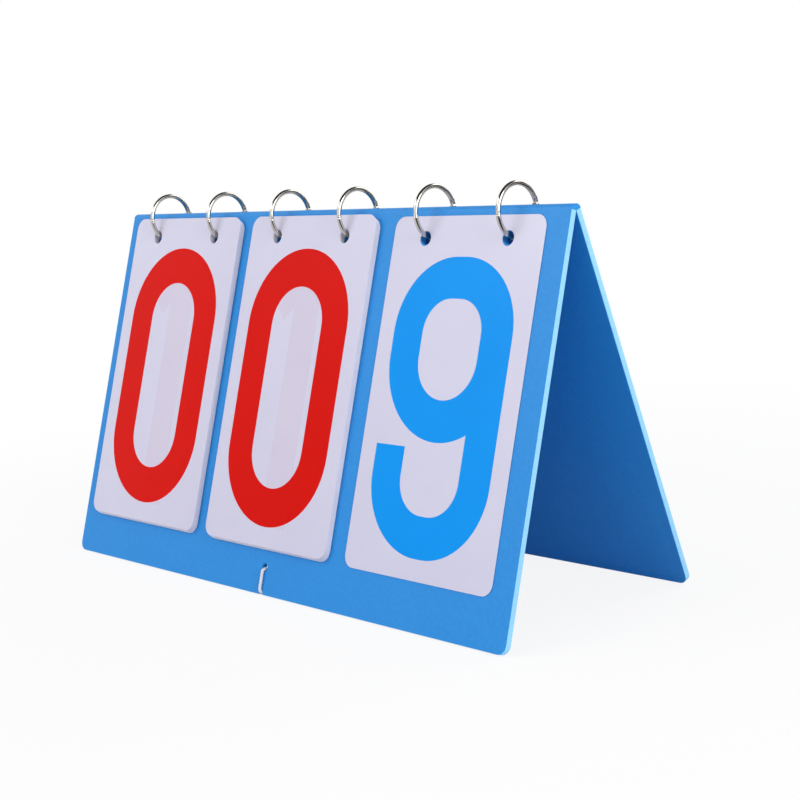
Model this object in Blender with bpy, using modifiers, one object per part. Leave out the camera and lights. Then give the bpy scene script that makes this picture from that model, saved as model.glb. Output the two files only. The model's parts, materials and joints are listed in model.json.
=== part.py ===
"""Desk-top flip scoreboard: a folded plastic sheet that carries three sets of number cards on six hinged rings."""

import math

import bmesh
import bpy
from mathutils import Matrix, Vector

# The folded sheet. A leaf's height runs down its slope from the fold line, where the inner faces meet.
LEAF_WIDTH = 0.285
LEAF_LENGTH = 0.163
LEAF_THICKNESS = 0.0026
LEAF_TILT = math.radians(18.5)
LEAF_CORNER = 0.004
FOLD_SKIN = 0.0011
FOLD_CLEARANCE = 0.0003

# The number cards, ten in each of three sets.
SETS = ("left", "middle", "right")
CARDS = 10
CARD_WIDTH = 0.082
CARD_LENGTH = 0.142
CARD_THICKNESS = 0.0002
CARD_CORNER = 0.005
CARD_HOLE = 0.006
CARD_HOLE_SPACING = 0.045
CARD_HOLE_MARGIN = 0.009
CARD_GAP = 0.00008
CARD_SEAT_GAP = 0.0002
CARD_DROP = {"left": 0.0014, "middle": 0.0014, "right": 0.001}
SET_PITCH = 0.0915
SET_SHIFT = -0.0008
TURNED_RIGHT_CARDS = 9

# The hinged rings. The radius is that of the wire's centre line, and the rise is from the fold line.
RING_RADIUS = 0.0105
RING_RISE = 0.0004
WIRE = 0.002
LEAF_HOLE = 0.006
RING_HINGE_ANGLE = math.radians(95)
EYE_RADIUS = 0.0014
EYE_THICKNESS = 0.0008
EYE_GAP = 0.0002
NECK_WIDTH = 0.0014
NECK_HOLD = 0.002
RIVET_RADIUS = 0.0004
RIVET_CLEARANCE = 0.00015
RIVET_HEAD_RADIUS = 0.00085
RIVET_HEAD_THICKNESS = 0.0003
RIVET_HEAD_GAP = 0.0001
SNAP_LENGTH = 0.0024
SNAP_CLEARANCE = 0.0002
WIRE_STEPS = 20

# The tie cord near the foot of the leaves.
CORD = 0.0014
CORD_HOLE = 0.0034
CORD_HOLE_RISE = 0.0115
CORD_CLEARANCE = 0.0003
NOTCH_DEPTH = 0.0019
KNOT_RADIUS = 0.0018
KNOT_RISE = 0.0075
KNOT_INSET = 0.0023
CORD_SAG = 0.001
CORD_POINTS = 36

FOLD_HEIGHT = LEAF_LENGTH * math.cos(LEAF_TILT)
RING_CENTRE = Vector((0, 0, FOLD_HEIGHT + RING_RISE))
LEAF_TURN = math.pi / 2 - LEAF_TILT


def clear_scene():
    for obj in list(bpy.data.objects):
        bpy.data.objects.remove(obj, do_unlink=True)


def new_collection(name):
    collection = bpy.data.collections.new(name)
    bpy.context.scene.collection.children.link(collection)
    return collection


def new_material(name, color, roughness, metallic=0.0):
    material = bpy.data.materials.new(name)
    material.use_nodes = True
    shader = material.node_tree.nodes["Principled BSDF"]
    shader.inputs["Base Color"].default_value = (*color, 1)
    shader.inputs["Roughness"].default_value = roughness
    shader.inputs["Metallic"].default_value = metallic
    return material


def new_empty(name, collection, location, rotation=(0, 0, 0), parent=None):
    empty = bpy.data.objects.new(name, None)
    empty.empty_display_size = 0.01
    collection.objects.link(empty)
    empty.location = location
    empty.rotation_euler = rotation
    empty.parent = parent
    return empty


def new_object(name, data, collection, material, parent=None, location=(0, 0, 0)):
    obj = bpy.data.objects.new(name, data)
    collection.objects.link(obj)
    if not data.materials:
        data.materials.append(material)
    obj.parent = parent
    obj.location = location
    return obj


# Outlines are lists of (x, y) points in the plane of a flat sheet.
def arc(centre, radius, start, end, steps):
    points = []
    for i in range(steps + 1):
        angle = start + (end - start) * i / steps
        points.append((centre[0] + radius * math.cos(angle), centre[1] + radius * math.sin(angle)))
    return points


def circle(centre, radius, steps=16):
    return arc(centre, radius, 0, 2 * math.pi, steps)[:-1]


def flat_sheet(name, outlines, thickness):
    """A filled 2D curve: the first outline is the edge and the others are holes."""
    curve = bpy.data.curves.new(name, "CURVE")
    curve.dimensions = "2D"
    curve.fill_mode = "BOTH"
    curve.extrude = thickness / 2
    for points in outlines:
        spline = curve.splines.new("POLY")
        spline.points.add(len(points) - 1)
        for point, (x, y) in zip(spline.points, points):
            point.co = (x, y, 0, 1)
        spline.use_cyclic_u = True
    return curve


def tube(name, points, diameter, sides_level=2):
    """A round wire through the points, with closed ends."""
    curve = bpy.data.curves.new(name, "CURVE")
    curve.dimensions = "3D"
    curve.bevel_depth = diameter / 2
    curve.bevel_resolution = sides_level
    curve.use_fill_caps = True
    spline = curve.splines.new("POLY")
    spline.points.add(len(points) - 1)
    for point, place in zip(spline.points, points):
        point.co = (*place, 1)
    return curve


def solid_mesh(curve, helpers):
    """The curve made a closed mesh, so that it can be cut and joined."""
    guide = bpy.data.objects.new(curve.name, curve)
    helpers.objects.link(guide)
    graph = bpy.context.evaluated_depsgraph_get()
    mesh = bpy.data.meshes.new_from_object(guide.evaluated_get(graph))
    bpy.data.objects.remove(guide, do_unlink=True)
    welded = bmesh.new()
    welded.from_mesh(mesh)
    bmesh.ops.remove_doubles(welded, verts=welded.verts, dist=1e-6)
    bmesh.ops.recalc_face_normals(welded, faces=welded.faces)
    welded.to_mesh(mesh)
    welded.free()
    mesh.materials.clear()
    return mesh


def box_mesh(name, size, centre, turn=Matrix()):
    mesh = bpy.data.meshes.new(name)
    shape = bmesh.new()
    bmesh.ops.create_cube(shape, size=1)
    bmesh.ops.transform(shape, verts=shape.verts, matrix=Matrix.Translation(centre) @ turn @ Matrix.Diagonal((*size, 1)))
    shape.to_mesh(mesh)
    shape.free()
    return mesh


def pin_mesh(name, radius, length, centre, segments=16):
    """A cylinder along X."""
    mesh = bpy.data.meshes.new(name)
    shape = bmesh.new()
    turn = Matrix.Translation(centre) @ Matrix.Rotation(math.pi / 2, 4, "Y")
    bmesh.ops.create_cone(
        shape, cap_ends=True, segments=segments, radius1=radius, radius2=radius, depth=length, matrix=turn
    )
    shape.to_mesh(mesh)
    shape.free()
    return mesh


def ball_mesh(name, radius, centre):
    mesh = bpy.data.meshes.new(name)
    shape = bmesh.new()
    bmesh.ops.create_uvsphere(shape, u_segments=12, v_segments=8, radius=radius, matrix=Matrix.Translation(centre))
    shape.to_mesh(mesh)
    shape.free()
    return mesh


def combine(obj, mesh, operation, helpers):
    helper = bpy.data.objects.new(f"{obj.name}_{operation.lower()}", mesh)
    helper.hide_render = True
    helper.display_type = "WIRE"
    helpers.objects.link(helper)
    modifier = obj.modifiers.new(operation.title(), "BOOLEAN")
    modifier.object = helper
    modifier.operation = operation
    modifier.solver = "EXACT"
    modifier.use_self = operation == "UNION"


def bake_modifiers(obj):
    """The finished shape as a mesh that copies can share."""
    graph = bpy.context.evaluated_depsgraph_get()
    mesh = bpy.data.meshes.new_from_object(obj.evaluated_get(graph))
    mesh.name = obj.name
    for modifier in obj.modifiers:
        if modifier.type == "BOOLEAN":
            bpy.data.objects.remove(modifier.object, do_unlink=True)
    obj.modifiers.clear()
    obj.data = mesh
    return mesh


def on_ring(angle, radius=RING_RADIUS):
    """A point in the ring's own plane: angle 0 is straight down, and it grows towards the front and then up."""
    return Vector((0, -radius * math.sin(angle), -radius * math.cos(angle)))


def wire_crossing(height):
    """How far down the leaf the ring's wire passes, at this height above the leaf's inner face."""
    across = height - RING_RISE * math.sin(LEAF_TILT)
    return math.sqrt(RING_RADIUS**2 - across**2) - RING_RISE * math.cos(LEAF_TILT)


def card_height(layer):
    """The middle of a card above the leaf's inner face. Layer 0 lies on the leaf."""
    first = LEAF_THICKNESS + CARD_SEAT_GAP + CARD_THICKNESS / 2
    return first + layer * (CARD_THICKNESS + CARD_GAP)


def set_centre(index):
    return SET_SHIFT + (index - 1) * SET_PITCH


def ring_places():
    return [set_centre(i) + side * CARD_HOLE_SPACING / 2 for i in range(len(SETS)) for side in (-1, 1)]


def leaf_outlines(mirrored):
    """The leaf's edge, with rounded foot corners and the cord's notch, then its holes."""
    half, foot, top = LEAF_WIDTH / 2, -LEAF_LENGTH, -FOLD_CLEARANCE
    notch = CORD / 2 + CORD_CLEARANCE
    edge = [(half, top), (-half, top)]
    edge += arc((-half + LEAF_CORNER, foot + LEAF_CORNER), LEAF_CORNER, math.pi, 1.5 * math.pi, 6)
    edge += [(-notch, foot), (-notch, foot + NOTCH_DEPTH), (notch, foot + NOTCH_DEPTH), (notch, foot)]
    edge += arc((half - LEAF_CORNER, foot + LEAF_CORNER), LEAF_CORNER, 1.5 * math.pi, 2 * math.pi, 6)
    side = -1 if mirrored else 1
    level = -wire_crossing(LEAF_THICKNESS / 2)
    holes = [circle((side * x, level), LEAF_HOLE / 2) for x in ring_places()]
    holes.append(circle((0, foot + CORD_HOLE_RISE), CORD_HOLE / 2, 12))
    return [edge] + holes


def make_leaves(parts, frames, material):
    for name, mirrored in (("front_leaf", False), ("rear_leaf", True)):
        sheet = flat_sheet(name, leaf_outlines(mirrored), LEAF_THICKNESS)
        new_object(name, sheet, parts, material, frames[name], (0, 0, LEAF_THICKNESS / 2))


def make_fold_strip(parts, material):
    """The creased strip of the sheet that bends over the fold line."""
    outer = arc((0, 0), LEAF_THICKNESS, LEAF_TILT, math.pi - LEAF_TILT, 14)
    inner = arc((0, 0), LEAF_THICKNESS - FOLD_SKIN, math.pi - LEAF_TILT, LEAF_TILT, 14)
    strip = new_object("fold_strip", flat_sheet("fold_strip", [outer + inner], LEAF_WIDTH), parts, material)
    strip.location = (0, 0, FOLD_HEIGHT)
    strip.rotation_euler = (math.pi / 2, 0, math.pi / 2)


def card_sheet():
    """A card about the line through its two holes."""
    half, top, foot = CARD_WIDTH / 2, CARD_HOLE_MARGIN, CARD_HOLE_MARGIN - CARD_LENGTH
    edge = []
    corners = ((half, top, 0), (-half, top, 1), (-half, foot, 2), (half, foot, 3))
    for x, y, quarter in corners:
        centre = (x - math.copysign(CARD_CORNER, x), y - math.copysign(CARD_CORNER, y))
        edge += arc(centre, CARD_CORNER, quarter * math.pi / 2, (quarter + 1) * math.pi / 2, 4)
    holes = [circle((side * CARD_HOLE_SPACING / 2, 0), CARD_HOLE / 2) for side in (-1, 1)]
    return flat_sheet("number_card", [edge] + holes, CARD_THICKNESS)


def make_cards(parts, frames, material):
    """Each set counts 0 to 9 from the front. The right set has nine cards turned over to the rear leaf."""
    sheet = card_sheet()
    for index, label in enumerate(SETS):
        for number in range(CARDS):
            turned = label == "right" and number < TURNED_RIGHT_CARDS
            layer = number if turned else CARDS - 1 - number
            height = card_height(layer)
            x = set_centre(index) * (-1 if turned else 1)
            place = (x, -wire_crossing(height) - CARD_DROP[label], height)
            frame = frames["rear_leaf" if turned else "front_leaf"]
            new_object(f"{label}_card_{number}", sheet, parts, material, frame, place)


def lug_outlines(reach):
    """A hinge eye about (0, 0) with its bore, on a neck that reaches along +X."""
    opening = math.asin(NECK_WIDTH / 2 / EYE_RADIUS)
    edge = arc((0, 0), EYE_RADIUS, opening, 2 * math.pi - opening, 14)
    edge += [(reach, -NECK_WIDTH / 2), (reach, NECK_WIDTH / 2)]
    return [edge, circle((0, 0), RIVET_RADIUS + RIVET_CLEARANCE, 10)]


def ring_half(name, upper, parts, helpers, material):
    """One half of a ring about the ring's centre. It has a flat hinge eye behind and a lapped snap end in front."""
    side = 1 if upper else -1
    neck = (EYE_RADIUS + SNAP_CLEARANCE) / RING_RADIUS
    snap = SNAP_LENGTH / 2 / RING_RADIUS
    start = RING_HINGE_ANGLE - side * snap
    end = -RING_HINGE_ANGLE + neck
    if upper:
        end = 2 * math.pi - RING_HINGE_ANGLE - neck
    angles = [start + (end - start) * i / WIRE_STEPS for i in range(WIRE_STEPS + 1)]
    wire = solid_mesh(tube(name, [on_ring(a) for a in angles], WIRE), helpers)
    half = new_object(name, wire, parts, material)
    hinge = on_ring(-RING_HINGE_ANGLE)
    reach = on_ring(end - side * NECK_HOLD / RING_RADIUS) - hinge
    along = reach.normalized()
    across = Vector((1, 0, 0))
    turn = Matrix((along, across.cross(along), across)).transposed().to_4x4()
    lug = solid_mesh(flat_sheet("lug", lug_outlines(reach.length), EYE_THICKNESS), helpers)
    lug.transform(Matrix.Translation(hinge + side * (EYE_THICKNESS + EYE_GAP) / 2 * across) @ turn)
    combine(half, lug, "UNION", helpers)
    # The snap end keeps its own side of the wire, and its neighbour's side is cut away.
    cut_length = SNAP_LENGTH + 2 * SNAP_CLEARANCE
    cut_place = on_ring(RING_HINGE_ANGLE) - side * (WIRE - EYE_GAP / 2) * across
    snap_turn = Matrix.Rotation(-RING_HINGE_ANGLE, 4, "X")
    cut = box_mesh("snap_cut", (2 * WIRE, cut_length, 2 * WIRE), cut_place, snap_turn)
    combine(half, cut, "DIFFERENCE", helpers)
    return half


def rivet_profile():
    """The rivet's outer side, top to bottom, about the Z axis."""
    head = EYE_THICKNESS + EYE_GAP / 2 + RIVET_HEAD_GAP
    outer = head + RIVET_HEAD_THICKNESS
    return [
        (0, outer),
        (RIVET_HEAD_RADIUS, outer),
        (RIVET_HEAD_RADIUS, head),
        (RIVET_RADIUS, head),
        (RIVET_RADIUS, -head),
        (RIVET_HEAD_RADIUS, -head),
        (RIVET_HEAD_RADIUS, -outer),
        (0, -outer),
    ]


def make_rivet(parts, material):
    profile = rivet_profile()
    mesh = bpy.data.meshes.new("rivet")
    mesh.from_pydata([(r, 0, z) for r, z in profile], [(i, i + 1) for i in range(len(profile) - 1)], [])
    rivet = new_object("rivet", mesh, parts, material)
    screw = rivet.modifiers.new("Turn", "SCREW")
    screw.steps = 12
    screw.render_steps = 12
    screw.use_merge_vertices = True
    screw.merge_threshold = 1e-6
    return rivet


def make_rings(parts, helpers, material):
    """Six rings stand across the fold, each with a lower half, an upper half and a rivet."""
    meshes = {}
    for kind in ("lower", "upper"):
        half = ring_half(f"{kind}_half", kind == "upper", parts, helpers, material)
        meshes[kind] = bake_modifiers(half)
        bpy.data.objects.remove(half, do_unlink=True)
    rivet = make_rivet(parts, material)
    meshes["rivet"] = bake_modifiers(rivet)
    bpy.data.objects.remove(rivet, do_unlink=True)
    hinge = on_ring(-RING_HINGE_ANGLE)
    for number, x in enumerate(ring_places(), 1):
        ring = new_empty(f"ring_{number}_axis", parts, RING_CENTRE + Vector((x, 0, 0)))
        pivot = new_empty(f"ring_{number}_hinge", parts, hinge, parent=ring)
        new_object(f"ring_{number}_lower", meshes["lower"], parts, material, ring)
        new_object(f"ring_{number}_upper", meshes["upper"], parts, material, pivot, -hinge)
        pin = new_object(f"ring_{number}_rivet", meshes["rivet"], parts, material, pivot)
        pin.rotation_euler = (0, math.pi / 2, 0)


def smooth_through(places, count):
    """Points spread evenly along a smooth curve through the places."""
    fine = []
    ends = [2 * places[0] - places[1]] + places + [2 * places[-1] - places[-2]]
    for a, b, c, d in zip(ends, ends[1:], ends[2:], ends[3:]):
        for i in range(24):
            t = i / 24
            fine.append(
                0.5 * (2 * b + (c - a) * t + (2 * a - 5 * b + 4 * c - d) * t**2 + (3 * b - a - 3 * c + d) * t**3)
            )
    fine.append(places[-1])
    lengths = [0]
    for a, b in zip(fine, fine[1:]):
        lengths.append(lengths[-1] + (b - a).length)
    points, i = [], 0
    for k in range(count):
        goal = lengths[-1] * k / (count - 1)
        while i < len(fine) - 2 and lengths[i + 1] < goal:
            i += 1
        share = (goal - lengths[i]) / (lengths[i + 1] - lengths[i])
        points.append(fine[i].lerp(fine[i + 1], share))
    return points


def cord_loop(name, frame, parts, helpers, material):
    """The cord goes out through its hole, down the face, under the foot in its notch, and up to the knot inside."""
    out = LEAF_THICKNESS + CORD / 2 + CORD_CLEARANCE
    inside = -CORD / 2 - CORD_CLEARANCE
    foot, hole, knot = -LEAF_LENGTH, -LEAF_LENGTH + CORD_HOLE_RISE, -LEAF_LENGTH + KNOT_RISE
    under = foot + NOTCH_DEPTH - CORD_CLEARANCE - CORD / 2
    route = [
        (knot, -KNOT_INSET),
        (hole - 0.0012, inside - 0.0007),
        (hole - 0.0002, 0.0002),
        (hole - 0.0002, LEAF_THICKNESS - 0.0002),
        (hole - 0.0012, out),
        (hole - 0.0045, out),
        (foot + 0.003, out),
        (under + 0.0006, out - 0.0004),
        (under, LEAF_THICKNESS - 0.0006),
        (under, 0.0006),
        (under + 0.0008, inside + 0.0002),
        (foot + 0.004, inside - 0.0005),
        (knot, -KNOT_INSET),
    ]
    points = smooth_through([Vector((0, y, z)) for y, z in route], CORD_POINTS)
    loop = new_object(name, solid_mesh(tube(name, points, CORD), helpers), parts, material)
    combine(loop, ball_mesh("knot", KNOT_RADIUS, Vector((0, knot, -KNOT_INSET))), "UNION", helpers)
    bake_modifiers(loop)
    loop.parent = frame


def make_cord(parts, helpers, frames, material):
    cord_loop("front_cord_loop", frames["front_leaf"], parts, helpers, material)
    cord_loop("rear_cord_loop", frames["rear_leaf"], parts, helpers, material)
    along = LEAF_LENGTH - KNOT_RISE
    reach = along * math.sin(LEAF_TILT) - KNOT_INSET * math.cos(LEAF_TILT)
    level = FOLD_HEIGHT - along * math.cos(LEAF_TILT) - KNOT_INSET * math.sin(LEAF_TILT)
    end = reach - KNOT_RADIUS - CORD_CLEARANCE
    places = []
    for share in (-1, -0.5, 0, 0.5, 1):
        places.append(Vector((0, share * end, level - CORD_SAG * (1 - share**2))))
    new_object("cord_span", tube("cord_span", smooth_through(places, CORD_POINTS), CORD), parts, material)


def main():
    clear_scene()
    parts = new_collection("flip_scoreboard")
    helpers = new_collection("cutters")
    sheet_blue = new_material("blue_sheet", (0.042, 0.31, 0.78), 0.45)
    card_white = new_material("white_card", (0.78, 0.76, 0.86), 0.4)
    nickel = new_material("nickel_wire", (0.62, 0.6, 0.58), 0.2, 1.0)
    cotton = new_material("white_cord", (0.8, 0.8, 0.8), 0.8)
    fold_line = (0, 0, FOLD_HEIGHT)
    frames = {
        "front_leaf": new_empty("front_leaf_frame", parts, fold_line, (LEAF_TURN, 0, 0)),
        "rear_leaf": new_empty("rear_leaf_frame", parts, fold_line, (LEAF_TURN, 0, math.pi)),
    }
    make_leaves(parts, frames, sheet_blue)
    make_fold_strip(parts, sheet_blue)
    make_cards(parts, frames, card_white)
    make_rings(parts, helpers, nickel)
    make_cord(parts, helpers, frames, cotton)


main()
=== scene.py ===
import json
import math

import bmesh
import bpy
from mathutils import Matrix, Vector


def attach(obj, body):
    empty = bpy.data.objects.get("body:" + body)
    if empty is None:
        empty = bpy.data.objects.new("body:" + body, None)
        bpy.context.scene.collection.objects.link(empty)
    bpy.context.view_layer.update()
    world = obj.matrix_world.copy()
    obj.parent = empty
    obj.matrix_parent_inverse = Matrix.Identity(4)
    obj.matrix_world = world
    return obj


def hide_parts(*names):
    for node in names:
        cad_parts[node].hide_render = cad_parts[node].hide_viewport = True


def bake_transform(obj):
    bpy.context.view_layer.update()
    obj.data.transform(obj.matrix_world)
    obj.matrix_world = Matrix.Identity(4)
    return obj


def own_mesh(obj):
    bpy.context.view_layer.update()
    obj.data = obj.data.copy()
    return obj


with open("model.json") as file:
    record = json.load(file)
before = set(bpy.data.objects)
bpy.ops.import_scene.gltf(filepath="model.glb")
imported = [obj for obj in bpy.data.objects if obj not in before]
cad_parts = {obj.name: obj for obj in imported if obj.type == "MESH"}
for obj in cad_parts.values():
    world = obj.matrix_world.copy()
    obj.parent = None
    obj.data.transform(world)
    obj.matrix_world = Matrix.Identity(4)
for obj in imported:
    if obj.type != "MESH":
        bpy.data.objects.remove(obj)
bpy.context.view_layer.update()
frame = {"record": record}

scene = bpy.context.scene

# sizes in metres, shared by the sheet, the cards and the rings
board = {
    "width": 0.285, "slope": 0.163, "thick": 0.0026, "tilt": math.radians(18.5),
    "ringRadius": 0.0105, "ringRise": 0.0004, "wire": 0.002,
    "pitch": 0.0915, "shift": -0.0008, "holeSpacing": 0.045,
}
board["foldHeight"] = board["slope"] * math.cos(board["tilt"])
setNames = ("left", "middle", "right")
setPlaces = [board["shift"] + (i - 1) * board["pitch"] for i in range(3)]
ringPlaces = [x + side * board["holeSpacing"] / 2 for x in setPlaces for side in (-1, 1)]


def leafPlace(rear):
    # +X across, +Y up the slope to the fold line, +Z out of the leaf
    lean = Matrix.Rotation(math.pi / 2 - board["tilt"], 4, "X")
    turn = Matrix.Rotation(math.pi if rear else 0, 4, "Z")
    return Matrix.Translation((0, 0, board["foldHeight"])) @ turn @ lean


def wireCrossing(height):
    # how far down the leaf the ring's wire passes, at this height over the leaf's inner face
    across = height - board["ringRise"] * math.sin(board["tilt"])
    return math.sqrt(board["ringRadius"] ** 2 - across ** 2) - board["ringRise"] * math.cos(board["tilt"])


def onRing(angle):
    # angle 0 is straight down, and it grows towards the front and then up
    return Vector((0, -board["ringRadius"] * math.sin(angle), -board["ringRadius"] * math.cos(angle)))


def linear(code):
    parts = [int(code[i:i + 2], 16) / 255 for i in (1, 3, 5)]
    return tuple(v / 12.92 if v <= 0.04045 else ((v + 0.055) / 1.055) ** 2.4 for v in parts) + (1.0,)


def addNode(tree, kind, inputs=None, **settings):
    node = tree.nodes.new(kind)
    for name, value in settings.items():
        setattr(node, name, value)
    for name, value in (inputs or {}).items():
        if isinstance(value, bpy.types.NodeSocket):
            tree.links.new(value, node.inputs[name])
        else:
            node.inputs[name].default_value = value
    return node


def clearSelection():
    if bpy.context.object and bpy.context.object.mode != "OBJECT":
        bpy.ops.object.mode_set(mode="OBJECT")
    bpy.ops.object.select_all(action="DESELECT")


def activate(*pieces):
    clearSelection()
    for piece in pieces:
        piece.select_set(True)
    bpy.context.view_layer.objects.active = pieces[0]


def newest(name):
    piece = bpy.context.object
    piece.name = name
    piece.data.name = name
    return piece


def applyPlace(piece, place=None):
    activate(piece)
    if place is not None:
        piece.matrix_world = place @ piece.matrix_world
    bpy.ops.object.transform_apply(location=True, rotation=True, scale=True)


def duplicate(piece, name):
    activate(piece)
    bpy.ops.object.duplicate(linked=False)
    return newest(name)


def joinInto(piece, *others):
    activate(piece, *others)
    bpy.ops.object.join()


def choose(piece, kind, test):
    # selects the corners or the edges that pass the test, in edit mode
    bpy.ops.mesh.select_all(action="DESELECT")
    bpy.ops.mesh.select_mode(type=kind)
    shape = bmesh.from_edit_mesh(piece.data)
    for item in shape.verts if kind == "VERT" else shape.edges:
        item.select_set(bool(test(item)))
    shape.select_flush_mode()
    bmesh.update_edit_mesh(piece.data)


def applyModifier(piece, kind, **settings):
    activate(piece)
    modifier = piece.modifiers.new(kind.title(), kind)
    for name, value in settings.items():
        setattr(modifier, name, value)
    bpy.ops.object.modifier_apply(modifier=modifier.name)


def boolean(piece, tool, operation="DIFFERENCE"):
    applyModifier(piece, "BOOLEAN", object=tool, operation=operation, solver="EXACT")
    bpy.data.objects.remove(tool, do_unlink=True)


def box(name, size, centre):
    bpy.ops.mesh.primitive_cube_add(size=1, location=centre)
    piece = newest(name)
    piece.scale = size
    applyPlace(piece)
    return piece


def rod(name, radius, depth, centre, axis="Z", sides=32):
    turn = (0, math.pi / 2, 0) if axis == "X" else (0, 0, 0)
    bpy.ops.mesh.primitive_cylinder_add(
        vertices=sides, radius=radius, depth=depth, location=centre, rotation=turn
    )
    piece = newest(name)
    applyPlace(piece)
    return piece


def roundCorners(piece, radius, segments, test):
    activate(piece)
    bpy.ops.object.mode_set(mode="EDIT")
    choose(piece, "EDGE", test)
    bpy.ops.mesh.bevel(offset=radius, offset_pct=0, segments=segments, affect="EDGES", clamp_overlap=False)
    bpy.ops.object.mode_set(mode="OBJECT")


def facesOutwards(piece):
    activate(piece)
    bpy.ops.object.mode_set(mode="EDIT")
    bpy.ops.mesh.select_all(action="SELECT")
    bpy.ops.mesh.remove_doubles(threshold=1e-6)
    bpy.ops.mesh.normals_make_consistent(inside=False)
    bpy.ops.object.mode_set(mode="OBJECT")


def smooth(piece, degrees):
    activate(piece)
    bpy.ops.object.shade_smooth_by_angle(angle=math.radians(degrees))


def paint(piece, *materials):
    piece.data.materials.clear()
    for material in materials:
        piece.data.materials.append(material)


def bodyOf(node):
    bodies = frame["record"]["behaviour"]["bodies"]
    return next(body for body in bodies if node in bodies[body])


def finish(piece, body, nodes=()):
    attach(piece, body)
    if nodes:
        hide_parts(*nodes)


cameraSettings = {"place": (0.54006, -0.44859, 0.19341), "turn": (80.1682, 4.8668, 47.3866), "lens": 73.568}


def makeCamera():
    bpy.ops.object.camera_add(
        location=cameraSettings["place"], rotation=[math.radians(v) for v in cameraSettings["turn"]]
    )
    camera = bpy.context.object
    camera.data.lens = cameraSettings["lens"]
    camera.data.sensor_width = 36
    camera.data.clip_start = 0.01
    scene.camera = camera


def newMaterial(name):
    material = bpy.data.materials.new(name)
    material.use_nodes = True
    material.node_tree.nodes.clear()
    return material, material.node_tree


def polypropyleneSheet(name, face, shade, rough, grain):
    # polypropylene, extruded and embossed by a roller: even blue, soft sheen broken by a fine leathery grain
    material, tree = newMaterial(name)
    place = addNode(tree, "ShaderNodeTexCoord").outputs["Object"]
    pebble = addNode(tree, "ShaderNodeTexVoronoi", {"Vector": place, "Scale": 1 / grain}, feature="SMOOTH_F1")
    cloud = addNode(tree, "ShaderNodeTexNoise", {"Vector": place, "Scale": 45, "Detail": 3})
    drift = addNode(tree, "ShaderNodeMapRange", {"Value": cloud.outputs["Fac"], "To Min": 0.4, "To Max": 0.6})
    speck = addNode(tree, "ShaderNodeTexNoise", {"Vector": place, "Scale": 0.7 / grain, "Detail": 2})
    tint = addNode(
        tree, "ShaderNodeMath", {0: drift.outputs[0], 1: speck.outputs["Fac"]}, operation="MULTIPLY"
    )
    share = addNode(tree, "ShaderNodeMapRange", {"Value": tint.outputs[0], "To Max": 2.2})
    colour = addNode(
        tree, "ShaderNodeMix", {0: share.outputs[0], 6: linear(face), 7: linear(shade)}, data_type="RGBA"
    )
    polish = addNode(
        tree, "ShaderNodeMapRange",
        {"Value": speck.outputs["Fac"], "To Min": rough - 0.06, "To Max": rough + 0.1},
    )
    bump = addNode(
        tree, "ShaderNodeBump", {"Height": pebble.outputs["Distance"], "Strength": 0.22, "Distance": 0.0001}
    )
    shader = addNode(tree, "ShaderNodeBsdfPrincipled", {
        "Base Color": colour.outputs[2], "Roughness": polish.outputs[0], "Normal": bump.outputs[0],
        "IOR": 1.49, "Specular IOR Level": 0.3,
    })
    addNode(tree, "ShaderNodeOutputMaterial", {"Surface": shader.outputs[0]})
    return material


def cardVinyl(name, bright, deep):
    # rigid PVC foil, calendered smooth: cool white with a mild gloss and a very slight waviness
    material, tree = newMaterial(name)
    place = addNode(tree, "ShaderNodeTexCoord").outputs["Object"]
    cloud = addNode(tree, "ShaderNodeTexNoise", {"Vector": place, "Scale": 28, "Detail": 2})
    fleck = addNode(tree, "ShaderNodeTexNoise", {"Vector": place, "Scale": 1600, "Detail": 2})
    colour = addNode(
        tree, "ShaderNodeMix", {0: cloud.outputs["Fac"], 6: linear(bright), 7: linear(deep)}, data_type="RGBA"
    )
    polish = addNode(
        tree, "ShaderNodeMapRange", {"Value": fleck.outputs["Fac"], "To Min": 0.22, "To Max": 0.4}
    )
    bump = addNode(
        tree, "ShaderNodeBump", {"Height": cloud.outputs["Fac"], "Strength": 0.12, "Distance": 0.0006}
    )
    shader = addNode(tree, "ShaderNodeBsdfPrincipled", {
        "Base Color": colour.outputs[2], "Roughness": polish.outputs[0], "Normal": bump.outputs[0],
        "IOR": 1.53,
    })
    addNode(tree, "ShaderNodeOutputMaterial", {"Surface": shader.outputs[0]})
    return material


def screenInk(name, bright, deep):
    # screen-printed ink: flat strong colour, with a mesh-sized mottling of about 1 mm in its thin film
    material, tree = newMaterial(name)
    place = addNode(tree, "ShaderNodeTexCoord").outputs["Object"]
    mottle = addNode(tree, "ShaderNodeTexNoise", {"Vector": place, "Scale": 900, "Detail": 3})
    cloud = addNode(tree, "ShaderNodeTexNoise", {"Vector": place, "Scale": 35, "Detail": 2})
    colour = addNode(
        tree, "ShaderNodeMix", {0: cloud.outputs["Fac"], 6: linear(bright), 7: linear(deep)}, data_type="RGBA"
    )
    polish = addNode(
        tree, "ShaderNodeMapRange", {"Value": mottle.outputs["Fac"], "To Min": 0.24, "To Max": 0.42}
    )
    bump = addNode(
        tree, "ShaderNodeBump", {"Height": mottle.outputs["Fac"], "Strength": 0.1, "Distance": 0.00005}
    )
    shader = addNode(tree, "ShaderNodeBsdfPrincipled", {
        "Base Color": colour.outputs[2], "Roughness": polish.outputs[0], "Normal": bump.outputs[0],
        "IOR": 1.5, "Specular IOR Level": 0.1,
    })
    addNode(tree, "ShaderNodeOutputMaterial", {"Surface": shader.outputs[0]})
    return material


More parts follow.
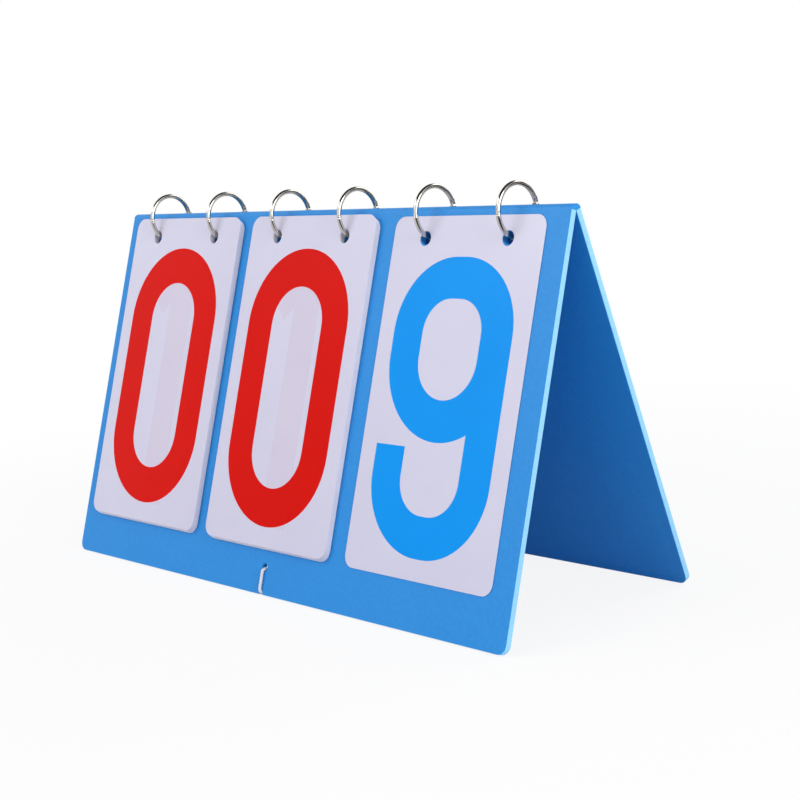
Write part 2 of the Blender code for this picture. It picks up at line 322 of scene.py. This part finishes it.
def nickelWire():
    # nickel plate on drawn steel wire: bright mirror with faint drawing marks about 0.3 mm apart
    material, tree = newMaterial("brightNickelPlate")
    place = addNode(tree, "ShaderNodeTexCoord").outputs["Object"]
    marks = addNode(tree, "ShaderNodeTexNoise", {"Vector": place, "Scale": 3000, "Detail": 2})
    cloud = addNode(tree, "ShaderNodeTexNoise", {"Vector": place, "Scale": 400, "Detail": 2})
    colour = addNode(
        tree, "ShaderNodeMix", {0: cloud.outputs["Fac"], 6: linear("#d2cfca"), 7: linear("#b9b5af")},
        data_type="RGBA",
    )
    polish = addNode(
        tree, "ShaderNodeMapRange", {"Value": marks.outputs["Fac"], "To Min": 0.05, "To Max": 0.16}
    )
    bump = addNode(
        tree, "ShaderNodeBump", {"Height": marks.outputs["Fac"], "Strength": 0.06, "Distance": 0.00004}
    )
    shader = addNode(tree, "ShaderNodeBsdfPrincipled", {
        "Base Color": colour.outputs[2], "Roughness": polish.outputs[0], "Normal": bump.outputs[0],
        "Metallic": 1,
    })
    addNode(tree, "ShaderNodeOutputMaterial", {"Surface": shader.outputs[0]})
    return material


def cottonString():
    # twisted cotton string: matt and slightly fuzzy, off-white mottled at random with a greyer tone
    material, tree = newMaterial("twistedCottonString")
    place = addNode(tree, "ShaderNodeTexCoord").outputs["Object"]
    fibre = addNode(
        tree, "ShaderNodeTexNoise", {"Vector": place, "Scale": 6500, "Detail": 3, "Roughness": 0.7}
    )
    colour = addNode(
        tree, "ShaderNodeMix", {0: fibre.outputs["Fac"], 6: linear("#fbfaf8"), 7: linear("#d6d4d2")},
        data_type="RGBA",
    )
    bump = addNode(
        tree, "ShaderNodeBump", {"Height": fibre.outputs["Fac"], "Strength": 0.5, "Distance": 0.00008}
    )
    shader = addNode(tree, "ShaderNodeBsdfPrincipled", {
        "Base Color": colour.outputs[2], "Normal": bump.outputs[0], "Roughness": 0.88, "Sheen Weight": 0.25,
    })
    addNode(tree, "ShaderNodeOutputMaterial", {"Surface": shader.outputs[0]})
    return material


cordSettings = {
    "thick": 0.0014, "gap": 0.0003, "holeRise": 0.0115, "notchDeep": 0.0019, "notchWide": 0.0020,
    "knotRise": 0.0075, "knotInset": 0.0023, "knotRadius": 0.0018, "sag": 0.001,
    "strandTurn": 0.0042, "strandSides": 18, "points": 36, "step": 0.00035, "leastSteps": 60,
    "foldedShare": 0.022,
    "knotWrap": 0.00098, "knotCore": 0.0011, "knotVoxel": 0.00012,
    "knotTurns": ((0.3, 0.2, 0), (1.75, 0.5, 0.4), (0.9, 1.5, 1.1)),
}


def smoothThrough(places, count):
    # points spread evenly along a smooth curve through the places
    fine, steps = [], 24
    ends = [2 * places[0] - places[1]] + places + [2 * places[-1] - places[-2]]
    for a, b, c, d in zip(ends, ends[1:], ends[2:], ends[3:]):
        for i in range(steps):
            t = i / steps
            square, cube = (2 * a - 5 * b + 4 * c - d) * t ** 2, (3 * b - a - 3 * c + d) * t ** 3
            fine.append(0.5 * (2 * b + (c - a) * t + square + cube))
    fine.append(places[-1])
    lengths = [0]
    for a, b in zip(fine, fine[1:]):
        lengths.append(lengths[-1] + (b - a).length)
    points, i = [], 0
    for k in range(count):
        goal = lengths[-1] * k / (count - 1)
        while i < len(fine) - 2 and lengths[i + 1] < goal:
            i += 1
        share = (goal - lengths[i]) / (lengths[i + 1] - lengths[i])
        points.append(fine[i].lerp(fine[i + 1], share))
    return points, lengths[-1]


def strandOutline():
    # the string's cross-section, three strands laid together
    data = bpy.data.curves.new("strandOutline", "CURVE")
    spline = data.splines.new("POLY")
    spline.points.add(cordSettings["strandSides"] - 1)
    for i, point in enumerate(spline.points):
        angle = 2 * math.pi * i / cordSettings["strandSides"]
        reach = cordSettings["thick"] / 2 * (0.9 + 0.1 * math.cos(3 * angle))
        point.co = (reach * math.cos(angle), reach * math.sin(angle), 0, 1)
    spline.use_cyclic_u = True
    outline = bpy.data.objects.new("strandOutline", data)
    scene.collection.objects.link(outline)
    return outline


def stringAlong(name, places, material):
    path, length = smoothThrough(places, cordSettings["points"])
    fine, _ = smoothThrough(path, max(cordSettings["leastSteps"], int(length / cordSettings["step"])))
    outline = strandOutline()
    data = bpy.data.curves.new(name, "CURVE")
    data.dimensions = "3D"
    data.bevel_mode = "OBJECT"
    data.bevel_object = outline
    data.use_fill_caps = True
    spline = data.splines.new("POLY")
    spline.points.add(len(fine) - 1)
    for i, (point, spot) in enumerate(zip(spline.points, fine)):
        point.co = (*spot, 1)
        point.tilt = 2 * math.pi * length * i / (len(fine) - 1) / cordSettings["strandTurn"]
    string = bpy.data.objects.new(name, data)
    scene.collection.objects.link(string)
    activate(string)
    bpy.ops.object.convert(target="MESH")
    bpy.data.objects.remove(outline, do_unlink=True)
    facesOutwards(string)
    smooth(string, 60)
    paint(string, material)
    return string, path, length


def tiedKnot(name, centre, material):
    # an overhand knot pulled tight: three wraps of the string that cross each other
    s = cordSettings
    wraps = []
    for turn in s["knotTurns"]:
        bpy.ops.mesh.primitive_torus_add(
            major_radius=s["knotWrap"], minor_radius=s["thick"] / 2, major_segments=28, minor_segments=14,
            rotation=turn,
        )
        wraps.append(newest(name))
        applyPlace(wraps[-1])
    bpy.ops.mesh.primitive_uv_sphere_add(segments=20, ring_count=12, radius=s["knotCore"])
    wraps.append(newest(name))
    joinInto(*wraps)
    knot = wraps[0]
    applyModifier(knot, "REMESH", mode="VOXEL", voxel_size=s["knotVoxel"])
    applyModifier(knot, "SMOOTH", factor=0.5, iterations=3)
    applyPlace(knot, Matrix.Translation(centre))
    smooth(knot, 60)
    paint(knot, material)
    return knot


def makeCords(material):
    s = cordSettings
    slope, thick, tilt = board["slope"], board["thick"], board["tilt"]
    out, inside = thick + s["thick"] / 2 + s["gap"] / 2, -s["thick"] / 2 - s["gap"]
    foot, hole, knot = -slope, -slope + s["holeRise"], -slope + s["knotRise"]
    under = foot + s["notchDeep"] - s["gap"] - s["thick"] / 2
    # the loop's way from its knot and back to it: up the leaf's slope, and out of its inner face
    route = [
        (knot, -s["knotInset"]), (hole - 0.0014, inside - 0.0007), (hole - 0.0007, 0.0002),
        (hole - 0.0007, thick - 0.0002), (hole - 0.0016, out), (hole - 0.0045, out), (foot + 0.003, out),
        (under + 0.0006, out - 0.0004), (under, thick - 0.0006), (under, 0.0006),
        (under + 0.0008, inside + 0.0002), (foot + 0.004, inside - 0.0005), (knot, -s["knotInset"]),
    ]
    ends = []
    for body, rear in (("front", False), ("rear", True)):
        place = leafPlace(rear)
        spots = [place @ Vector((0, y, z)) for y, z in route]
        loop = stringAlong(f"{body}FootLoop", spots, material)[0]
        knotPiece = tiedKnot(f"{body}Knot", place @ Vector((0, knot, -s["knotInset"])), material)
        finish(loop, body, [f"{body}_cord_loop"])
        finish(knotPiece, body)
        ends += [loop, knotPiece]
    along = slope - s["knotRise"]
    reach = along * math.sin(tilt) - s["knotInset"] * math.cos(tilt)
    level = board["foldHeight"] - along * math.cos(tilt) - s["knotInset"] * math.sin(tilt)
    end = reach - s["knotRadius"] - s["gap"]
    shares = (-1, -0.5, 0, 0.5, 1)
    spots = [Vector((0, share * end, level - s["sag"] * (1 - share ** 2))) for share in shares]
    span, path, length = stringAlong("spanString", spots, material)
    finish(span, "front", ["cord_span"])
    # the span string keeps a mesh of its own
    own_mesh(span)


sheetSettings = {
    "footCorner": 0.004, "ringHole": 0.006, "cordHole": 0.0034, "edge": 0.00025,
    "skin": 0.00255, "crestSteps": 24, "crestReach": 0.0024, "outlineBand": 0.005, "toolDeep": 0.02,
    "face": "#2f99e6", "shade": "#2489db", "rough": 0.42, "grain": 0.0008,
    # the cut edges are paler than the flats, partly their own paler tone and partly a painted highlight on
    # edges that catch the light
    "cut": "#a6defc", "cutShade": "#86ccf7", "cutRough": 0.36, "cutGrain": 0.0004,
}


def makeLeaf(name, rear, faceMaterial, cutEdgeAndHighlight):
    s = sheetSettings
    width, slope, thick = board["width"], board["slope"], board["thick"]
    leaf = box(name, (width, slope, thick), (0, -slope / 2, thick / 2))
    roundCorners(
        leaf, s["footCorner"], 8,
        lambda e: all(v.co.y < 1e-5 - slope for v in e.verts)
        and abs(e.verts[0].co.z - e.verts[1].co.z) > thick / 2,
    )
    level = -wireCrossing(thick / 2)
    side = -1 if rear else 1
    deep = s["toolDeep"]
    tools = [rod("punch", s["ringHole"] / 2, deep, (side * x, level, 0), sides=40) for x in ringPlaces]
    tools.append(rod("punch", s["cordHole"] / 2, deep, (0, -slope + cordSettings["holeRise"], 0), sides=32))
    notch = box("punch", (cordSettings["notchWide"], 2 * cordSettings["notchDeep"], deep), (0, -slope, 0))
    joinInto(tools[0], *tools[1:], notch)
    boolean(leaf, tools[0])
    # every sharp edge is eased, apart from those along the fold
    roundCorners(
        leaf, s["edge"], 2, lambda e: e.calc_face_angle(0) > 0.8 and min(v.co.y for v in e.verts) < -1e-4
    )
    paint(leaf, faceMaterial, cutEdgeAndHighlight)
    # the cut outline is paler than the flats, partly its own paler tone and partly a painted highlight, and
    # the walls of the holes keep the flats' blue
    for face in leaf.data.polygons:
        beyond = max(abs(face.center.x) - width / 2, -slope - face.center.y)
        face.material_index = 1 if beyond > -s["outlineBand"] and abs(face.normal.z) < 0.8 else 0
    applyPlace(leaf, leafPlace(rear))
    smooth(leaf, 15)  # the flats stay flat, and only the corners and holes are smooth
    return leaf


def makeCrest(faceMaterial):
    # the creased skin that turns over the fold line, thinner than the leaves
    s = sheetSettings
    thick, tilt = board["thick"], board["tilt"]
    bpy.ops.mesh.primitive_plane_add(size=1, rotation=(math.pi / 2, 0, 0))
    crest = newest("foldCrest")
    crest.scale = (board["width"], s["skin"], 1)
    crest.location = (0, 0, thick - s["skin"] / 2)
    applyPlace(crest)
    turn = math.pi / 2 - tilt
    applyPlace(crest, Matrix.Rotation(turn, 4, "X"))
    bpy.ops.object.mode_set(mode="EDIT")
    bpy.ops.mesh.select_all(action="SELECT")
    bpy.ops.mesh.spin(steps=s["crestSteps"], angle=2 * turn, center=(0, 0, 0), axis=(1, 0, 0))
    bpy.ops.object.mode_set(mode="OBJECT")
    facesOutwards(crest)
    applyPlace(crest, Matrix.Translation((0, 0, board["foldHeight"])))
    smooth(crest, 30)
    paint(crest, faceMaterial)
    return crest


def makeSheet():
    s = sheetSettings
    face = polypropyleneSheet("embossedPolypropylene", s["face"], s["shade"], s["rough"], s["grain"])
    # the paler cut paint is partly a painted highlight on the lit outline
    cut = polypropyleneSheet("cutPolypropyleneAndHighlight", s["cut"], s["cutShade"], s["cutRough"], s["cutGrain"])
    front = makeLeaf("frontLeaf", False, face, cut)
    finish(front, "front", ["front_leaf"])
    rear = makeLeaf("rearLeaf", True, face, cut)
    finish(rear, "rear", ["rear_leaf"])
    crest = makeCrest(face)
    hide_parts("fold_strip")
    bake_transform(crest)


inkSettings = {
    "stroke": 16.4, "footMargin": 8.4,
    # in metres: the printed film, how far it sinks into the card, and the wall it is pressed down from
    "film": 0.00002, "sink": 0.000002, "wall": 0.01, "cornerSteps": 16, "thicker": 0.15,
    # each stroke: points in mm from the middle of the number's foot, the radius at each, closed or not
    0: [([(-24.8, 8.2), (24.8, 8.2), (24.8, 111.1), (-24.8, 111.1)], [24.79] * 4, True)],
    1: [([(5, 0), (5, 117.4)], [0, 0], False), ([(-14.5, 94.5), (4.5, 111)], [0, 0], False)],
    2: [
        ([(-24.2, 83), (-24.2, 109.2), (24.2, 109.2), (24.2, 66), (-19, 12)], [0, 23, 23, 9, 0], False),
        ([(-32.4, 8.2), (32.4, 8.2)], [0, 0], False),
    ],
    3: [
        ([(-24.2, 88), (-24.2, 109.2), (24.2, 109.2), (24.2, 61), (-6, 61)], [0, 21, 21, 21, 0], False),
        ([(-6, 61), (24.2, 61), (24.2, 8.2), (-24.2, 8.2), (-24.2, 31)], [0, 21, 22.5, 22.5, 0], False),
    ],
    4: [
        ([(4.5, 117.4), (-22.5, 36)], [0, 0], False), ([(-32.4, 30), (32.4, 30)], [0, 0], False),
        ([(13, 0), (13, 60)], [0, 0], False),
    ],
    5: [
        ([(30, 109.2), (-22.2, 109.2), (-22.2, 60)], [0, 0, 0], False),
        (
            [(-30.4, 64.6), (24.2, 64.6), (24.2, 8.2), (-24.2, 8.2), (-24.2, 29)],
            [0, 22.5, 22.5, 22.5, 0], False,
        ),
    ],
    6: [
        ([(-24.2, 8.2), (24.2, 8.2), (24.2, 64.8), (-24.2, 64.8)], [21.2] * 4, True),
        ([(-24.2, 30), (-24.2, 109.2), (24.2, 109.2), (24.2, 76)], [0, 22.5, 22.5, 0], False),
    ],
    7: [([(-32.4, 109.2), (21, 109.2), (-10, 0)], [0, 0, 0], False)],
    8: [
        ([(-24.2, 8.2), (24.2, 8.2), (24.2, 61.5), (-24.2, 61.5)], [22] * 4, True),
        ([(-21.5, 61.5), (21.5, 61.5), (21.5, 109.2), (-21.5, 109.2)], [20.5] * 4, True),
    ],
    9: [
        ([(-24.2, 53.2), (24.2, 53.2), (24.2, 109.2), (-24.2, 109.2)], [24.19, 24.19, 21.8, 21.8], True),
        ([(24.2, 87.4), (24.2, 8.2), (-24.2, 8.2), (-24.2, 42.2)], [0, 22.5, 22.5, 0], False),
    ],
}


def inkStroke(name, points, radii, closed, film):
    spots = [Vector((x / 1000, y / 1000, 0)) for x, y in points]
    bpy.ops.mesh.primitive_plane_add(size=0.002, location=spots[0])
    stroke = newest(name)
    applyPlace(stroke)
    bpy.ops.object.mode_set(mode="EDIT")
    bpy.ops.mesh.select_mode(type="VERT")
    bpy.ops.mesh.select_all(action="SELECT")
    bpy.ops.mesh.merge(type="CENTER")
    for a, b in zip(spots, spots[1:]):
        choose(stroke, "VERT", lambda v: (v.co - a).length < 1e-6)
        bpy.ops.mesh.extrude_vertices_move(TRANSFORM_OT_translate={"value": tuple(b - a)})
    if closed:
        choose(stroke, "VERT", lambda v: len(v.link_edges) == 1)
        bpy.ops.mesh.edge_face_add()
    bpy.ops.mesh.select_all(action="SELECT")
    bpy.ops.mesh.extrude_region_move(TRANSFORM_OT_translate={"value": (0, 0, inkSettings["wall"])})
    bpy.ops.mesh.select_all(action="SELECT")
    bpy.ops.mesh.normals_make_consistent(inside=False)
    for spot, radius in zip(spots, radii):
        if radius:
            choose(
                stroke, "EDGE",
                lambda e: all((v.co.xy - spot.xy).length < 1e-5 for v in e.verts) and len(e.link_faces) == 2,
            )
            bpy.ops.mesh.bevel(
                offset=radius / 1000, segments=inkSettings["cornerSteps"], affect="EDGES", clamp_overlap=False
            )
    bpy.ops.mesh.select_all(action="SELECT")
    bpy.ops.mesh.remove_doubles(threshold=3e-5)
    bpy.ops.object.mode_set(mode="OBJECT")
    applyModifier(
        stroke, "SOLIDIFY", thickness=inkSettings["stroke"] / 1000, offset=0, use_even_offset=True,
        use_rim=True,
    )
    facesOutwards(stroke)
    stroke.scale = (1, 1, film / inkSettings["wall"])  # the wall is pressed down to the ink's thickness
    applyPlace(stroke)
    return stroke


def inkNumber(value):
    # a later stroke's film is a hair thicker, so that crossing strokes never share a plane
    strokes = []
    for i, (points, radii, closed) in enumerate(inkSettings[value]):
        film = inkSettings["film"] * (1 + inkSettings["thicker"] * i)
        strokes.append(inkStroke(f"number{value}", points, radii, closed, film))
    if len(strokes) > 1:
        joinInto(*strokes)
    return strokes[0]


cardSettings = {
    "width": 0.082, "length": 0.142, "thick": 0.0002, "corner": 0.005, "hole": 0.006, "margin": 0.009,
    "gap": 0.00008, "seat": 0.0002, "drop": {"left": 0.0014, "middle": 0.0014, "right": 0.001},
    "count": 10, "turned": 9, "edge": 0.00004, "toolDeep": 0.01, "ghostFilm": 0.3,
    # the cut edges are whiter than the faces, partly the vinyl's own white edge and partly a painted
    # highlight on the lit edges
    "face": ("#dcdaee", "#d4d1e7"), "cut": ("#f6f4fb", "#eeebf6"),
    "red": ("#df0f04", "#d60c02"), "blue": ("#0a9cf8", "#0894f0"), "ghost": ("#dbd3e6", "#d3cbdf"),
}


def blankCard(material, cutEdgeAndHighlight):
    s = cardSettings
    card = box("blankCard", (s["width"], s["length"], s["thick"]), (0, s["margin"] - s["length"] / 2, 0))
    roundCorners(card, s["corner"], 8, lambda e: abs(e.verts[0].co.z - e.verts[1].co.z) > s["thick"] / 2)
    holes = [side * board["holeSpacing"] / 2 for side in (-1, 1)]
    tools = [rod("punch", s["hole"] / 2, s["toolDeep"], (x, 0, 0), sides=36) for x in holes]
    joinInto(*tools)
    boolean(card, tools[0])
    applyModifier(
        card, "BEVEL", width=s["edge"], segments=1, limit_method="ANGLE", angle_limit=math.radians(50)
    )
    paint(card, material, cutEdgeAndHighlight)
    # the cut edges and hole walls take the whiter edge paint, partly a painted highlight
    for face in card.data.polygons:
        face.material_index = 0 if abs(face.normal.z) > 0.9 else 1
    return card


def cardHeight(layer):
    s = cardSettings
    return board["thick"] + s["seat"] + s["thick"] / 2 + layer * (s["thick"] + s["gap"])


def printedCards(blank, numbers, ink, ghostInk):
    # the front of card k shows k, and its back shows k + 1 for the far side of the board
    s = cardSettings
    foot = s["margin"] - s["length"] + inkSettings["footMargin"] / 1000
    front = Matrix.Translation((0, foot, s["thick"] / 2 - inkSettings["sink"]))
    back = Matrix.Rotation(math.pi, 4, "Y") @ front
    cards = []
    for k in range(s["count"]):
        card = duplicate(blank, f"printed{k}")
        prints = []
        for value, side in ((k, front), (k + 1, back)):
            if value in numbers:
                film = duplicate(numbers[value], "print")
                paint(film, ink)
                applyPlace(film, side)
                prints.append(film)
        if k == 0:
            # the next card's number shows faintly through this one
            film = duplicate(numbers[1], "print")
            paint(film, ghostInk)
            applyPlace(film, front @ Matrix.Diagonal((1, 1, s["ghostFilm"], 1)))
            prints.append(film)
        joinInto(card, *prints)
        cards.append(card)
    return cards


def makeCards():
    s = cardSettings
    vinyl = cardVinyl("calenderedWhiteVinyl", *s["face"])
    # the edge paint is whiter than the faces, partly a painted highlight
    cutVinylAndHighlight = cardVinyl("punchedVinylEdgeAndHighlight", *s["cut"])
    red = screenInk("redScreenInk", *s["red"])
    blue = screenInk("blueScreenInk", *s["blue"])
    ghostInk = screenInk("showThroughTint", *s["ghost"])
    blank = blankCard(vinyl, cutVinylAndHighlight)
    numbers = {value: inkNumber(value) for value in range(10)}
    patterns = printedCards(blank, numbers, red, ghostInk)
    for index, label in enumerate(setNames):
        for k, pattern in enumerate(patterns):
            turned = label == "right" and k < s["turned"]
            layer = k if turned else s["count"] - 1 - k
            height = cardHeight(layer)
            card = duplicate(pattern, f"{label}Card{k}")
            if label == "right":
                for i, material in enumerate(card.data.materials):
                    if material == red:
                        card.data.materials[i] = blue
            x = setPlaces[index] * (-1 if turned else 1)
            spot = Matrix.Translation((x, -wireCrossing(height) - s["drop"][label], height))
            face = Matrix.Rotation(math.pi if turned else 0, 4, "Y")
            applyPlace(card, leafPlace(turned) @ spot @ face)
            node = f"{label}_card_{k}"
            finish(card, bodyOf(node), [node])
    for piece in [blank] + list(numbers.values()) + patterns:
        bpy.data.objects.remove(piece, do_unlink=True)


ringSettings = {
    "hinge": math.radians(95), "eyeRadius": 0.0014, "eyeThick": 0.0008, "eyeGap": 0.0002, "neckWide": 0.0014,
    "neckHold": 0.002, "bore": 0.00055, "pin": 0.0004, "headRadius": 0.00085, "headThick": 0.0003,
    "headGap": 0.0001, "headRound": 0.0002, "snapLong": 0.0024, "snapGap": 0.0002,
    "edge": 0.00008, "steps": 56, "toolDeep": 0.01,
}


def ringHalf(upper, material):
    # bent wire with a flattened hinge eye behind and a lapped snap end in front
    s = ringSettings
    side = 1 if upper else -1
    radius = board["ringRadius"]
    neck = (s["eyeRadius"] + s["snapGap"]) / radius
    start = s["hinge"] - side * s["snapLong"] / 2 / radius
    end = 2 * math.pi - s["hinge"] - neck if upper else -s["hinge"] + neck
    bpy.ops.mesh.primitive_circle_add(
        vertices=24, radius=board["wire"] / 2, fill_type="NGON",
        location=onRing(start), rotation=(math.pi / 2 - start, 0, 0),
    )
    half = newest("upperHalf" if upper else "lowerHalf")
    applyPlace(half)
    bpy.ops.object.mode_set(mode="EDIT")
    bpy.ops.mesh.select_all(action="SELECT")
    bpy.ops.mesh.spin(steps=s["steps"], angle=abs(end - start), center=(0, 0, 0), axis=(side, 0, 0))
    bpy.ops.object.mode_set(mode="OBJECT")
    facesOutwards(half)
    hinge = onRing(-s["hinge"])
    reach = onRing(end - side * s["neckHold"] / radius) - hinge
    offset = Vector((side * (s["eyeThick"] + s["eyeGap"]) / 2, 0, 0))
    eye = rod("eye", s["eyeRadius"], s["eyeThick"], hinge + offset, "X", 40)
    stem = box("stem", (s["eyeThick"], s["neckWide"], reach.length), (0, 0, reach.length / 2))
    lean = Vector((0, 0, 1)).rotation_difference(reach.normalized()).to_matrix().to_4x4()
    applyPlace(stem, Matrix.Translation(hinge + offset) @ lean)
    boolean(eye, stem, "UNION")
    boolean(half, eye, "UNION")
    boolean(half, rod("bore", s["bore"], s["toolDeep"], hinge, "X", 24))
    bpy.ops.mesh.primitive_cube_add(size=1, rotation=(-s["hinge"], 0, 0))
    cut = newest("snapCut")
    cut.scale = (2 * board["wire"], s["snapLong"] + 2 * s["snapGap"], 2 * board["wire"])
    cut.location = onRing(s["hinge"]) - Vector((side * (board["wire"] - s["eyeGap"] / 2), 0, 0))
    applyPlace(cut)
    boolean(half, cut)
    applyModifier(
        half, "BEVEL", width=s["edge"], segments=2, limit_method="ANGLE", angle_limit=math.radians(45)
    )
    smooth(half, 40)
    paint(half, material)
    return half


def ringRivet(material):
    # a pin with a domed head on each side of the two eyes
    s = ringSettings
    head = s["eyeThick"] + s["eyeGap"] / 2 + s["headGap"]
    rivet = rod("rivet", s["pin"], 2 * head + s["headThick"], (0, 0, 0), "X", 24)
    outer = head + s["headThick"]
    for side in (-1, 1):
        cap = rod("cap", s["headRadius"], s["headThick"], (side * (head + s["headThick"] / 2), 0, 0), "X", 32)
        roundCorners(cap, s["headRound"], 4, lambda e: all(abs(v.co.x) > outer - 1e-6 for v in e.verts))
        boolean(rivet, cap, "UNION")
    applyPlace(rivet, Matrix.Translation(onRing(-s["hinge"])))
    smooth(rivet, 50)
    paint(rivet, material)
    return rivet


def makeRings():
    nickel = nickelWire()
    patterns = {"lower": ringHalf(False, nickel), "upper": ringHalf(True, nickel), "rivet": ringRivet(nickel)}
    for number, x in enumerate(ringPlaces, 1):
        for kind, pattern in patterns.items():
            node = f"ring_{number}_{kind}"
            piece = duplicate(pattern, f"ring{number}{kind.title()}")
            applyPlace(piece, Matrix.Translation((x, 0, board["foldHeight"] + board["ringRise"])))
            finish(piece, bodyOf(node), [node])
    for pattern in patterns.values():
        bpy.data.objects.remove(pattern, do_unlink=True)


studio = {
    "floor": "#f4f4f6", "floorSize": 8, "shadowShare": 0.13, "fade": (0.16, 0.55), "air": 0.42,
    "felt": "#1c1d20",
    "flags": [
        # name, place, aimed at, width, height
        ("overheadFlag", (0, 0, 1.5), (0, 0, 0), 2.6, 2.6),
        ("leftFlag", (-0.9, -0.95, 0.3), (0, 0, 0.16), 0.8, 0.9),
        ("rightFlag", (0.85, 0.95, 0.3), (0, 0, 0.16), 0.8, 0.9),
        ("floorFlag", (0.56, -0.2, 0.004), (0.56, -0.2, 1), 0.8, 1.1),
    ],
    "lamps": [
        # name, place, aimed at, size, watts
        ("keyLamp", (-0.75, -1.25, 1.25), (0, 0, 0.08), 1.5, 15),
        ("fillLamp", (1.6, -0.2, 0.7), (0, 0, 0.06), 1.2, 15),
        ("backLamp", (0.4, 1.4, 1.1), (0, 0, 0.08), 1.2, 6),
    ],
}


def towards(place, aim):
    return (Vector(aim) - Vector(place)).to_track_quat("-Z", "Y")


def makeFloor():
    bpy.ops.mesh.primitive_plane_add(size=studio["floorSize"])
    floor = newest("paleFloor")
    applyPlace(floor)
    material, tree = newMaterial("paleFloor")
    pale = addNode(tree, "ShaderNodeBsdfDiffuse", {"Color": linear(studio["floor"])})
    white = addNode(tree, "ShaderNodeEmission", {"Color": (1, 1, 1, 1), "Strength": 1})
    # the shadow shows near the object, and the floor fades to the white background away from it
    near, far = studio["fade"]
    spot = addNode(tree, "ShaderNodeTexCoord").outputs["Object"]
    away = addNode(tree, "ShaderNodeVectorMath", {0: spot}, operation="LENGTH").outputs["Value"]
    fade = addNode(tree, "ShaderNodeMapRange", {
        "Value": away, "From Min": near, "From Max": far, "To Min": 1 - studio["shadowShare"], "To Max": 1,
    }, interpolation_type="SMOOTHSTEP").outputs["Result"]
    seen = addNode(tree, "ShaderNodeMixShader", {0: fade, 1: pale.outputs[0], 2: white.outputs[0]})
    ray = addNode(tree, "ShaderNodeLightPath")
    both = addNode(
        tree, "ShaderNodeMixShader", {0: ray.outputs["Is Camera Ray"], 1: pale.outputs[0], 2: seen.outputs[0]}
    )
    addNode(tree, "ShaderNodeOutputMaterial", {"Surface": both.outputs[0]})
    paint(floor, material)


def makeFlags():
    # dark flags that only reflections see, so that the bright wire has darks to mirror
    material, tree = newMaterial("feltFlag")
    felt = addNode(
        tree, "ShaderNodeBsdfPrincipled", {"Base Color": linear(studio["felt"]), "Roughness": 0.95}
    )
    addNode(tree, "ShaderNodeOutputMaterial", {"Surface": felt.outputs[0]})
    for name, place, aim, width, height in studio["flags"]:
        bpy.ops.mesh.primitive_plane_add(size=1)
        panel = newest(name)
        panel.scale = (width, height, 1)
        applyPlace(panel)
        applyPlace(panel, Matrix.Translation(place) @ towards(place, aim).to_matrix().to_4x4())
        paint(panel, material)
        panel.visible_camera = panel.visible_diffuse = False
        panel.visible_transmission = panel.visible_shadow = False


def makeLamps():
    for name, place, aim, size, watts in studio["lamps"]:
        bpy.ops.object.light_add(type="AREA", location=place)
        lamp = newest(name)
        lamp.data.shape = "DISK"
        lamp.data.size = size
        lamp.data.energy = watts
        lamp.rotation_euler = towards(place, aim).to_euler()


def makeRoom():
    # white to the camera, to reflections and through clear pieces, and dimmer as a light
    world = bpy.data.worlds.new("softRoom")
    scene.world = world
    world.use_nodes = True
    tree = world.node_tree
    tree.nodes.clear()
    ray = addNode(tree, "ShaderNodeLightPath")
    seen = addNode(
        tree, "ShaderNodeMath", {0: ray.outputs["Is Camera Ray"], 1: ray.outputs["Is Glossy Ray"]},
        operation="ADD",
    )
    seen = addNode(
        tree, "ShaderNodeMath", {0: seen.outputs[0], 1: ray.outputs["Is Transmission Ray"]}, operation="ADD",
        use_clamp=True,
    )
    dim = addNode(tree, "ShaderNodeBackground", {"Color": (1, 1, 1, 1), "Strength": studio["air"]})
    white = addNode(tree, "ShaderNodeBackground", {"Color": (1, 1, 1, 1), "Strength": 1})
    both = addNode(
        tree, "ShaderNodeMixShader", {0: seen.outputs[0], 1: dim.outputs[0], 2: white.outputs[0]}
    )
    addNode(tree, "ShaderNodeOutputWorld", {"Surface": both.outputs[0]})
    scene.view_settings.view_transform = "Standard"


clearSelection()
makeCamera()
print("camera set")
makeCords(cottonString())
print("cords laid")
makeSheet()
print("sheet folded")
makeCards()
print("cards hung")
makeRings()
print("rings closed")
makeFloor()
makeFlags()
makeLamps()
makeRoom()
print("studio lit")

clearSelection()
